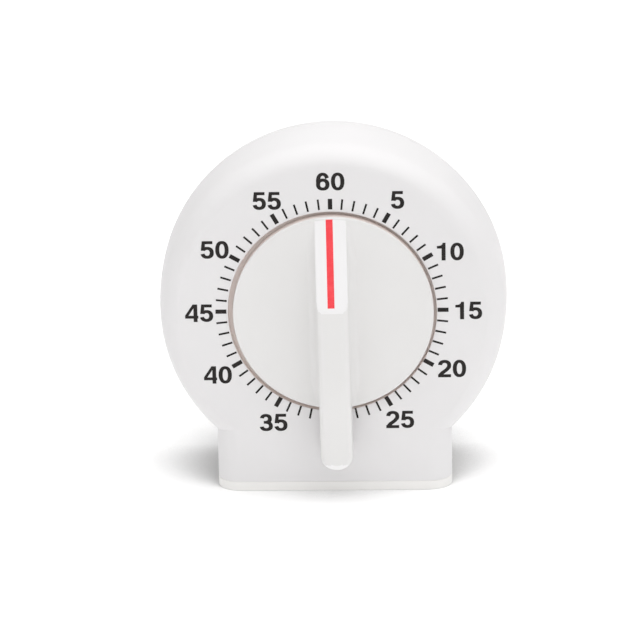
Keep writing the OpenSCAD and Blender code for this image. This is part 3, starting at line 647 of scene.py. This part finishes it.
# The polished part of the ramp, painted paler as a highlight, which ends in two round corners
def onRamp(facts, across, up, normal):
    inside = gripHalf(facts, up) - abs(across)
    above = up - facts["ridgeUp"] + facts["rampOver"]
    corner = facts["rampCorner"]
    if min(inside, above) < facts["rampMargin"] or abs(normal.x) > facts["flankTurn"]:
        return False
    if inside < corner and above < corner and math.hypot(corner - inside, corner - above) > corner:
        return False
    return abs(math.atan2(normal.z, -normal.y) - math.atan(rampSlope(facts))) < facts["rampSpread"]


def onTip(facts, up, normal):
    down, forward = facts["tipFacing"]
    return up < facts["tipLine"] and normal.z < down and normal.y < forward


def gripTop(facts, across, up, inFromEdge):
    fromMiddle = (across / gripHalf(facts, up)) ** 2
    bar = barHeight(facts, up) - facts["crown"] * fromMiddle - edgeDrop(facts["edgeRound"], inFromEdge)
    ramp = facts["ridgeHeight"] - rampSlope(facts) * (up - facts["ridgeUp"])
    height = softMin(ramp - edgeDrop(facts["rampEdge"], inFromEdge), bar, facts["ridgeSoft"])
    tip = facts["tipLine"] - up - fromMiddle * facts["tipCurve"]
    if tip > 0:
        height = softMin(height, bar - facts["tipSlope"] * tip, facts["tipSoft"])
    radius = math.hypot(across, up)
    rim, turn = facts["rampEnd"], facts["rampRound"]
    if up > 0 and radius > rim - turn:
        drop = min(turn, radius - rim + turn)
        height = min(height, facts["rampFoot"] - turn + math.sqrt(max(0.0, turn ** 2 - drop ** 2)))
    return height


# Underside of the grip: buried in the disc, then free of the dial along the tail
def gripUnder(facts, up):
    rim, blend = discRadius, facts["rimBlend"]
    if up > -rim + blend:
        return facts["proud"] - facts["sunk"]
    if up > -rim - blend:
        rise = facts["rimUnder"] - facts["proud"] + facts["sunk"]
        return facts["proud"] - facts["sunk"] + rise * (-rim + blend - up) / (2 * blend)
    rise = facts["tailUnder"] - facts["rimUnder"]
    return facts["rimUnder"] + rise * (-rim - blend - up) / (tailReach - rim - blend)


def onDial(across, up, height):
    return (across, faceY - height, dialUp + up)


gripRows = {
    "rimRows": 5,
    "rimGap": 0.1,  # grows with the square of the row's number
    "rampFrom": 1.8,  # in from the ramp's end
    "rampGap": 0.8,
    "rampTo": 9.0,
    "ridgeGap": 0.3,
    "ridgeTo": 1.0,
    "tailRows": 46,
    "bend": 5.0,  # the rows follow the round rim at first and are straight from here
    "edgeColumns": 8,
    "innerColumns": 5,
    "rays": 24,  # in the fan round the tip
    "tipInside": 0.98,  # keeps the tip's edge within its own width
}


# Columns across the grip, given by how far they lie in from its edge; fine round the edge, coarse inside
def edgeColumns(facts, half):
    turn, fine, coarse = facts["edgeRound"], gripRows["edgeColumns"], gripRows["innerColumns"]
    columns = [turn * (1 - math.cos(math.radians(90 * i / fine))) for i in range(fine + 1)]
    return columns + [turn + (half - turn) * i / coarse for i in range(1, coarse + 1)]


# Rows from the rim down to the centre of the round tip, close together where the grip bends
def gripStations(facts, tipUp):
    end, near = facts["rampEnd"], gripRows["rampFrom"]
    stations = [end - gripRows["rimGap"] * i * i for i in range(gripRows["rimRows"])]
    count = int((end - near - gripRows["rampTo"]) / gripRows["rampGap"])
    stations += [end - near - gripRows["rampGap"] * i for i in range(count)]
    low = stations[-1]
    count = int((low - gripRows["ridgeTo"]) / gripRows["ridgeGap"])
    stations += [low - gripRows["ridgeGap"] * (i + 1) for i in range(count)]
    low, count = stations[-1], gripRows["tailRows"]
    return stations + [low + (tipUp - low) * (i + 1) / count for i in range(count)]


def gripBody(facts):
    tip, end, rays = facts["tailHalf"], facts["rampEnd"], gripRows["rays"]
    tipUp = tip - tailReach + facts["tailShort"]
    rows = []
    for up in gripStations(facts, tipUp):
        half = gripHalf(facts, up)
        inside = edgeColumns(facts, half)
        left = [(-(half - d), d) for d in inside]
        right = [(half - d, d) for d in reversed(inside[:-1])]
        bend = max(0.0, 1 - (end - up) / gripRows["bend"])
        rows.append([(x, up - bend * (end - math.sqrt(end ** 2 - x ** 2)), d) for x, d in left + right])
    width = len(rows[0])
    count = (width - 1) // 2  # columns from the edge to just before the middle
    top, under = [], []
    for row in rows:
        for across, up, d in row:
            top.append(onDial(across, up, gripTop(facts, across, up, d)))
            under.append(onDial(across, up, gripUnder(facts, up)))
    lastRow = (len(rows) - 1) * width
    middle = lastRow + count
    faces = []
    for r in range(len(rows) - 1):
        for c in range(width - 1):
            a = r * width + c
            faces.append((a, a + 1, a + 1 + width, a + width))
    # Fan of rays round the tip, from the left edge of the last row to its right edge
    inside = edgeColumns(facts, tip)
    fan = [[lastRow + c for c in range(count)]]
    for k in range(1, rays):
        angle = math.pi + math.pi * k / rays
        line = []
        for d in inside[:-1]:
            across, up = (tip - d) * math.cos(angle), tipUp + (tip - d) * math.sin(angle)
            line.append(len(top))
            top.append(onDial(across, up, gripTop(facts, (tip - d) * gripRows["tipInside"], up, d)))
            under.append(onDial(across, up, gripUnder(facts, up)))
        fan.append(line)
    fan.append([lastRow + width - 1 - c for c in range(count)])
    for a, b in zip(fan, fan[1:]):
        for c in range(count - 1):
            faces.append((a[c], a[c + 1], b[c + 1], b[c]))
        faces.append((a[count - 1], middle, b[count - 1]))
    size = len(top)
    faces += [tuple(i + size for i in reversed(face)) for face in faces]
    # Walls between the top and the underside
    loop = [r * width for r in range(len(rows))] + [line[0] for line in fan[1:-1]]
    loop += [r * width + width - 1 for r in reversed(range(len(rows)))]
    loop += list(range(width - 2, 0, -1))
    for a, b in zip(loop, loop[1:] + loop[:1]):
        faces.append((a, b, b + size, a + size))
    return addMesh("grip", top + under, faces)


skirtFacts = {
    "rows": 60,
    "below": 0.5,  # starts this far past the rim, to be trimmed there
    "sunk": 0.02,  # into the disc and the grip
    "grow": 9.0,  # length over which it grows from the rim
    "rimWidth": 1.2,
    "width": 2.7,
    "height": 4.0,
    "rimShare": 0.4,  # share of the height it has at the rim
    "least": 0.03,
    "room": 0.12,  # stays this far below the grip's edge
    "inside": 0.4,
    "under": 0.7,
    "steps": 10,
    "trim": 0.25,  # cut off this far inside the disc's rim
    "trimFrom": -20.0,
    "trimTo": 5.0,
}


# Soft concave skirt on both sides of the grip, trimmed to the disc afterwards
def gripSkirt(facts, skirt):
    rings = []
    base, sunk, share = facts["proud"] - skirt["sunk"], skirt["sunk"], skirt["rimShare"]
    for i in range(skirt["rows"] + 1):
        up = -discRadius - skirt["below"] + (2 * discRadius) * i / skirt["rows"]
        half = gripHalf(facts, up) - sunk
        grown = smoothStep((up + discRadius) / skirt["grow"])
        width = skirt["rimWidth"] + (skirt["width"] - skirt["rimWidth"]) * grown
        room = gripTop(facts, half, up, sunk) - base - skirt["room"]
        high = max(skirt["least"], min(skirt["height"] * (share + (1 - share) * grown), room))
        turns = [math.radians(90 * k / skirt["steps"]) for k in range(skirt["steps"] + 1)]
        side = [(half + width - width * math.cos(a), base + high - high * math.sin(a)) for a in turns]
        right = [(half - skirt["inside"], base + high)] + side + [(half + width, base - skirt["under"])]
        rings.append([onDial(x, up, h) for x, h in right + [(-x, h) for x, h in reversed(right)]])
    return loft("skirt", rings)


disc = knobFacts
turn, chamfer = disc["rimRound"], disc["rimChamfer"]
rim = arcPoints(discRadius - turn, turn - disc["proud"], turn, turn, -90, 0, disc["rimSteps"])
rim += [(discRadius, disc["rimDepth"] - chamfer), (discRadius - chamfer, disc["rimDepth"])]
dialKnob = lathe("dialKnob", rim, 0, dialUp, drumSteps)
trim = lathe("trim", [(discRadius - skirtFacts["trim"], skirtFacts[end]) for end in ("trimFrom", "trimTo")],
             0, dialUp, drumSteps)
fuse(dialKnob, combine(gripSkirt(knobFacts, skirtFacts), trim, "INTERSECT"), gripBody(knobFacts),
     lathe("hub", [(disc["hub"], disc["rimDepth"] - disc["hubOver"]), (disc["hub"], disc["hubEnd"])],
           -disc["slack"][0], dialUp - disc["slack"][1], hubSteps))


indexFacts = {
    "top": 26.65,
    "bottom": 3.9,
    "across": -0.25,
    "half": 0.925,
    "proud": 0.03,
    "sunk": 0.35,
    "rows": 60,
    "gather": 1.6,  # draws the rows closer together over the rim
}


# Thin strip of red let into the ramp, following it over the start of the ridge
def indexStrip(facts, index):
    rings = []
    proud, sunk = index["proud"], -index["sunk"]
    section = ((-1, proud), (0, proud), (1, proud), (1, sunk), (0, sunk), (-1, sunk))
    for i in range(index["rows"] + 1):
        up = index["top"] + (index["bottom"] - index["top"]) * (i / index["rows"]) ** index["gather"]
        ring = []
        for side, lift in section:
            across = index["across"] + side * index["half"]
            ring.append(onDial(across, up, gripTop(facts, across, up, facts["edgeRound"]) + lift))
        rings.append(ring)
    return loft("indexLine", rings)


indexLine = indexStrip(knobFacts, indexFacts)
hang = Matrix.Translation((disc["slack"][0], 0, dialUp + disc["slack"][1]))
twist = Matrix.Rotation(-math.radians(disc["turned"]), 4, "Y")
aroundDial = hang @ twist @ Matrix.Translation((0, 0, -dialUp))
for piece in (dialKnob, indexLine):
    piece.data.transform(aroundDial)
settle(dialKnob, "knob", finishes["knobPlastic"], ("dial_knob",), 36)
dialKnob.data.materials.append(finishes["rimPaintedShade"])
dialKnob.data.materials.append(finishes["rampPolishAndHighlight"])
# Faces behind the rim's rounding get the rim's painted shade
rimShadeFrom = faceY - disc["proud"] + disc["rimRound"]
for face in dialKnob.data.polygons:
    spot = aroundDial.inverted() @ (face.center / mm)
    up = spot.z - dialUp
    if face.center.y > rimShadeFrom * mm:
        face.material_index = 1
    # Faces of the ramp and of the tip's bevel get the ramp finish, real polish with a painted highlight
    elif onRamp(knobFacts, spot.x, up, face.normal) or onTip(knobFacts, up, face.normal):
        face.material_index = 2
settle(indexLine, "knob", finishes["indexRed"], ("pointer_inlay",))
print("knob: %d faces" % len(dialKnob.data.polygons))


dialFacts = {
    "ink": 0.03,  # above the face
    "sunk": 0.05,
    "tickFrom": 28.5,
    "tickTo": 31.45,
    "minorWidth": 0.53,
    "majorWidth": 1.17,  # marks that have a number
    "numberCircle": 36.1,
    "advance": 4.0,
    "numberEvery": 5,
    "nudges": {  # how far a number is printed off its circle
        5: (0, -0.3), 10: (0.6, -1.65), 15: (0.6, -0.25), 20: (1.0, 1.3), 35: (1.6, -0.6),
        45: (0.2, -0.4), 50: (0, -0.6), 55: (1.1, -0.25), 60: (0.15, 0.15),
    },
}
digitFacts = {
    "height": 4.95,
    "width": 3.6,
    "stem": 1.09,
    "bar": 0.85,
    "square": 2.25,  # 2 draws round bowls, more draws squarer ones
    "bowlSteps": 26,
    "ringSteps": 56,
}


def squareArc(cx, cy, rx, ry, start, stop, steps):
    power = 2 / digitFacts["square"]
    points = []
    for i in range(steps + 1):
        a = math.radians(start + (stop - start) * i / steps)
        c, s = (math.copysign(abs(v) ** power, v) for v in (math.cos(a), math.sin(a)))
        points.append((cx + rx * c, cy + ry * s))
    return points


# Outer and inner line of a curved stroke
def strokeArcs(cx, cy, rx, ry, start, stop, steps):
    return (squareArc(cx, cy, rx, ry, start, stop, steps),
            squareArc(cx, cy, rx - digitFacts["stem"], ry - digitFacts["bar"], start, stop, steps))


# Curved stroke, a stem wide at the sides and a bar thick above and below
def bowl(cx, cy, rx, ry, start, stop):
    outer, inner = strokeArcs(cx, cy, rx, ry, start, stop, digitFacts["bowlSteps"])
    return outer + inner[::-1]


def block(x0, y0, x1, y1):
    return [(x0, y0), (x1, y0), (x1, y1), (x0, y1)]


def inkPlate(outline):
    back, front = dialFacts["sunk"], -dialFacts["ink"]
    return loft("ink", [[(x, faceY + depth, z) for x, z in outline] for depth in (back, front)])


# Closed stroke with an open middle
def inkRing(cx, cy, rx, ry):
    count = digitFacts["ringSteps"]
    outer, inner = strokeArcs(cx, cy, rx, ry, 0, 360 - 360 / count, count - 1)
    depths = (dialFacts["sunk"], -dialFacts["ink"])
    points = [(x, faceY + d, z) for d in depths for ring in (outer, inner) for x, z in ring]
    faces = []
    for i in range(count):
        j = (i + 1) % count
        for a, b in ((0, 1), (1, 3), (3, 2), (2, 0)):
            faces.append((a * count + i, a * count + j, b * count + j, b * count + i))
    return addMesh("inkRing", points, faces)


# Strokes of each digit in its own box, from the lower left corner
def digitShapes():
    h, w, stem, bar = (digitFacts[k] for k in ("height", "width", "stem", "bar"))
    mid = w / 2
    return {
        "0": [inkRing(mid, h / 2, mid, h / 2)],
        "1": [inkPlate([(1.63, 0), (1.63 + stem, 0), (1.63 + stem, h), (1.95, h), (1.82, h - 0.42),
                        (1.45, h - 0.74), (0.95, h - 0.86), (0.39, h - 0.88), (0.39, h - 1.6),
                        (1.63, h - 1.6)])],
        "2": [inkPlate(bowl(mid, h - 1.56, mid - 0.03, 1.56, 176, -34)),
              inkPlate([(3.27, 2.53), (2.93, 2.05), (2.3, 1.5), (1.72, 1.08), (1.42, bar - 0.05),
                        (0.9, 0.2), (0.0, 0.0), (0.03, 0.5), (0.28, 1.05), (0.75, 1.55), (1.4, 2.05),
                        (1.95, 2.45), (2.3, 2.9), (2.6, 3.0)]),
              inkPlate(block(0.0, 0, w - 0.08, bar))],
        "3": [inkPlate(bowl(mid - 0.05, h - 1.4, mid - 0.17, 1.4, 172, -88)),
              inkPlate(bowl(mid, 1.47, mid, 1.47, 92, -172)),
              inkPlate(block(1.15, h - 2.8, 2.0, 2.92))],
        "4": [inkPlate(block(2.3, 0, 2.3 + stem - 0.05, h)),
              inkPlate(block(0.0, 0.98, w - 0.03, 1.76)),
              inkPlate([(0.0, 1.1), (0.0, 1.8), (2.1, h), (2.6, h), (2.6, h - 0.62), (0.82, 1.62),
                        (0.82, 1.1)])],
        "5": [inkPlate(block(0.42, h - 0.84, w - 0.33, h)),
              inkPlate([(0.42, h), (0.1, 2.27), (0.98, 2.27), (1.3, 2.8), (1.18, 2.8), (1.3, h - 0.3),
                        (1.3, h)]),
              inkPlate(bowl(mid, 1.68, mid, 1.68, 148, -168))],
        "6": [inkRing(mid, 1.66, mid, 1.66), inkPlate(bowl(mid, h / 2, mid, h / 2, 205, 24))],
    }


# Clockwise from the top, 6 degrees to the minute
def minuteAngle(minute):
    return math.radians(90 - 6 * minute)


digits = {}
for digit, strokes in digitShapes().items():
    digits[digit] = fuse(strokes[0], *strokes[1:])

advance, circle, every = dialFacts["advance"], dialFacts["numberCircle"], dialFacts["numberEvery"]
for value in range(every, 60 + every, every):
    angle = minuteAngle(value)
    nudge = dialFacts["nudges"].get(value, (0, 0))
    label = str(value)
    run = advance * (len(label) - 1) + digitFacts["width"]
    left = circle * math.cos(angle) + nudge[0] - run / 2
    low = dialUp + circle * math.sin(angle) + nudge[1] - digitFacts["height"] / 2
    joined = bmesh.new()
    for i, digit in enumerate(label):
        copy = digits[digit].data.copy()
        copy.transform(Matrix.Translation((left + i * advance, 0, low)))
        joined.from_mesh(copy)
        bpy.data.meshes.remove(copy)
    data = bpy.data.meshes.new("numeral%d" % value)
    joined.to_mesh(data)
    joined.free()
    numeral = bpy.data.objects.new("numeral%d" % value, data)
    scene.collection.objects.link(numeral)
    settle(numeral, "case", finishes["dialInk"], ())
for obj in digits.values():
    bpy.data.objects.remove(obj)

tickPoints, tickFaces = [], []
near, far = dialFacts["tickFrom"], dialFacts["tickTo"]
tickBox = ((0, 1, 2, 3), (4, 5, 6, 7), (0, 1, 5, 4), (1, 2, 6, 5), (2, 3, 7, 6), (3, 0, 4, 7))
for minute in range(60):
    half = dialFacts["minorWidth" if minute % every else "majorWidth"] / 2
    c, s = math.cos(minuteAngle(minute)), math.sin(minuteAngle(minute))
    out, side = Vector((c, 0, s)), Vector((-s, 0, c))
    first = len(tickPoints)
    for depth in (dialFacts["sunk"], -dialFacts["ink"]):
        for radius, sign in ((near, -1), (far, -1), (far, 1), (near, 1)):
            p = out * radius + side * sign * half
            tickPoints.append((p.x, faceY + depth, dialUp + p.z))
    tickFaces += [tuple(first + c for c in corners) for corners in tickBox]
settle(addMesh("minuteTicks", tickPoints, tickFaces), "case", finishes["dialInk"], ())
print("dial: 12 numbers, 60 ticks")


# Parts of the movement and the screws are kept as they come and only get a finish
partFinishes = {
    "screwSteel": ("case_screws", "base_screws", "movement_screws", "bell_screw"),
    "plateBrass": ("front_plate", "back_plate", "thrust_washer"),
    "wheelBrass": ("great_wheel", "second_wheel", "third_wheel"),
    "turnedSteel": ("main_arbor", "plate_pillars", "pillar_nuts", "second_pinion", "third_pinion",
                    "escape_pinion", "pallet_arbor", "pallet_pins", "pallet_weights", "click_rivets",
                    "hammer_post", "spring_post", "hammer_head"),
    "springSteel": ("mainspring", "hammer_spring", "hammer_clip"),
    "leverSteel": ("ratchet_wheel", "ratchet_clicks", "hammer_lever"),
    "wheelPlastic": ("escape_wheel",),
    "leverPlastic": ("pallet_lever",),
    "camPlastic": ("alarm_cam",),
    "bellSteel": ("bell",),
}
for finish, names in partFinishes.items():
    for name in names:
        part = nodes[name]
        part.data.materials.clear()
        part.data.materials.append(finishes[finish])
print("movement: %d parts finished" % sum(len(names) for names in partFinishes.values()))


stageFacts = {
    "floorHalf": 850.0,
    "floorColour": (0.96, 0.96, 0.96),
    "mottleScale": 3.0,
    "mottleShade": 0.995,
    "mottleStops": (0.4, 0.6),
    "floorRough": 0.9,
    "floorShine": 0.1,
    "paintedShadowColour": (0.56, 0.56, 0.56),  # painted shadow close beside the foot, under the drum
    "paintedShadowReach": 100.0,
    "paintedShadowSide": (0.1, -0.5, 0.86),  # the side the floor is open to, which sets where the painted shadow falls
    "paintedShadowRange": (0.47, 0.69),
    "paintedFloorLight": 0.14,  # painted light, seen by the camera only: none close to the object, full in the open, so the open floor reads as white and the shade beside the foot stays deep
    "floorGlow": 0.12,  # glow the floor gives off for every ray but the camera's, lighting the object from below
    "paintedLightRange": (0.66, 0.80),
    "worldLeft": 0.495,  # strength of the light from all round, which grows towards the right
    "worldRight": 0.62,
    "worldColour": (1.0, 0.995, 0.99),
    "lamps": {
        "topSoftbox": dict(place=(60, -60, 1100), aim=(0, 0, 50), size=2000, watts=13.8),
        "frontFill": dict(place=(110, -1090, 400), aim=(0, 0, 50), size=350, watts=0.36),
    },
}
cameraFacts = {
    "place": (30.8, -1044.8, 385.0),
    "aim": (-3.26, -19.0, 49.09),
    "roll": -1.074,
    "lens": 225.0,
    "sensor": 36.0,
    "nearest": 50.0,
}

half = stageFacts["floorHalf"]
floorCorners = [(-half, -half, 0), (half, -half, 0), (half, half, 0), (-half, half, 0)]
floor = addMesh("floor", floorCorners, [(0, 1, 2, 3)])
floor.data.transform(Matrix.Scale(mm, 4))


# Matt paper with a painted shadow, seen by the camera only, close beside the foot and under the drum, and
# painted light in the open; for every other ray it glows and lights the object from below
def paperFloor(facts):
    made, tree, shader, place = startFinish("studio floor")
    openSky = tree.nodes.new("ShaderNodeAmbientOcclusion")
    openSky.inputs["Distance"].default_value = facts["paintedShadowReach"] * mm
    openSide = tree.nodes.new("ShaderNodeCombineXYZ")
    for i, part in enumerate(Vector(facts["paintedShadowSide"]).normalized()):
        openSide.inputs[i].default_value = part
    tree.links.new(openSide.outputs["Vector"], openSky.inputs["Normal"])
    mottle = addNoise(tree, place, facts["mottleScale"], 2.0)
    shades = (shade(facts["floorColour"], facts["mottleShade"]), facts["floorColour"])
    # Painted shadow: for the camera the floor turns darker where it is closed in
    paintedShadow = tree.nodes.new("ShaderNodeMix")
    paintedShadow.data_type = "RGBA"
    tree.links.new(addRamp(tree, mottle, list(zip(facts["mottleStops"], shades))), paintedShadow.inputs[7])
    paintedShadow.inputs[6].default_value = (*facts["paintedShadowColour"], 1)
    seen = tree.nodes.new("ShaderNodeLightPath").outputs["Is Camera Ray"]
    clear = addRange(tree, openSky.outputs["AO"], 0.0, 1.0, *facts["paintedShadowRange"])
    unseen = addRange(tree, seen, 1.0, 0.0, 0, 1)
    tree.links.new(addLarger(tree, clear, unseen), paintedShadow.inputs["Factor"])
    tree.links.new(paintedShadow.outputs[2], shader.inputs["Base Color"])
    shader.inputs["Roughness"].default_value = facts["floorRough"]
    shader.inputs["Specular IOR Level"].default_value = facts["floorShine"]
    # Emission: painted light on the open floor for the camera, and a glow that lights the object from below
    # for all other rays
    lift = tree.nodes.new("ShaderNodeMix")
    tree.links.new(seen, lift.inputs["Factor"])
    lift.inputs[2].default_value = facts["floorGlow"]
    paintedLift = addRange(tree, openSky.outputs["AO"], 0.0, facts["paintedFloorLight"], *facts["paintedLightRange"])
    tree.links.new(paintedLift, lift.inputs[3])
    shader.inputs["Emission Color"].default_value = (1, 1, 1, 1)
    tree.links.new(lift.outputs[0], shader.inputs["Emission Strength"])
    return made


floor.data.materials.append(paperFloor(stageFacts))


# White where the camera looks past the floor; as a light it grows from left to right
def studioWorld(facts):
    made = bpy.data.worlds.new("studio")
    made.use_nodes = True
    tree = made.node_tree
    tree.nodes.clear()
    path = tree.nodes.new("ShaderNodeLightPath")
    seen = addLarger(tree, path.outputs["Is Camera Ray"], path.outputs["Is Transmission Ray"])
    dim, white, pick, result = (tree.nodes.new(kind) for kind in (
        "ShaderNodeBackground", "ShaderNodeBackground", "ShaderNodeMixShader", "ShaderNodeOutputWorld"))
    around = tree.nodes.new("ShaderNodeTexCoord")
    split = tree.nodes.new("ShaderNodeSeparateXYZ")
    tree.links.new(around.outputs["Generated"], split.inputs["Vector"])
    strength = addRange(tree, split.outputs["X"], facts["worldLeft"], facts["worldRight"], -1, 1)
    tree.links.new(strength, dim.inputs["Strength"])
    dim.inputs["Color"].default_value = (*facts["worldColour"], 1)
    white.inputs["Color"].default_value = (1, 1, 1, 1)
    white.inputs["Strength"].default_value = 1.0
    tree.links.new(seen, pick.inputs["Fac"])
    tree.links.new(dim.outputs["Background"], pick.inputs[1])
    tree.links.new(white.outputs["Background"], pick.inputs[2])
    tree.links.new(pick.outputs["Shader"], result.inputs["Surface"])
    return made


scene.world = studioWorld(stageFacts)


# Puts a lamp or a camera in its place and turns it to its aim
def placeAimed(name, data, facts, roll=0.0):
    holder = bpy.data.objects.new(name, data)
    place = Vector(facts["place"])
    holder.location = place * mm
    holder.rotation_mode = "QUATERNION"
    looking = (Vector(facts["aim"]) - place).to_track_quat("-Z", "Y")
    holder.rotation_quaternion = looking @ Quaternion((0, 0, 1), math.radians(roll))
    scene.collection.objects.link(holder)
    return holder


for name, facts in stageFacts["lamps"].items():
    lamp = bpy.data.lights.new(name, "AREA")
    lamp.shape = "DISK"
    lamp.size = facts["size"] * mm
    lamp.energy = facts["watts"]
    placeAimed(name, lamp, facts)

optics = bpy.data.cameras.new("studioCamera")
optics.lens = cameraFacts["lens"]
optics.sensor_width = cameraFacts["sensor"]
optics.clip_start = cameraFacts["nearest"] * mm
scene.camera = placeAimed("studioCamera", optics, cameraFacts, cameraFacts["roll"])
scene.view_settings.view_transform = "Standard"
print("stage: floor, %d lamps, camera" % len(stageFacts["lamps"]))
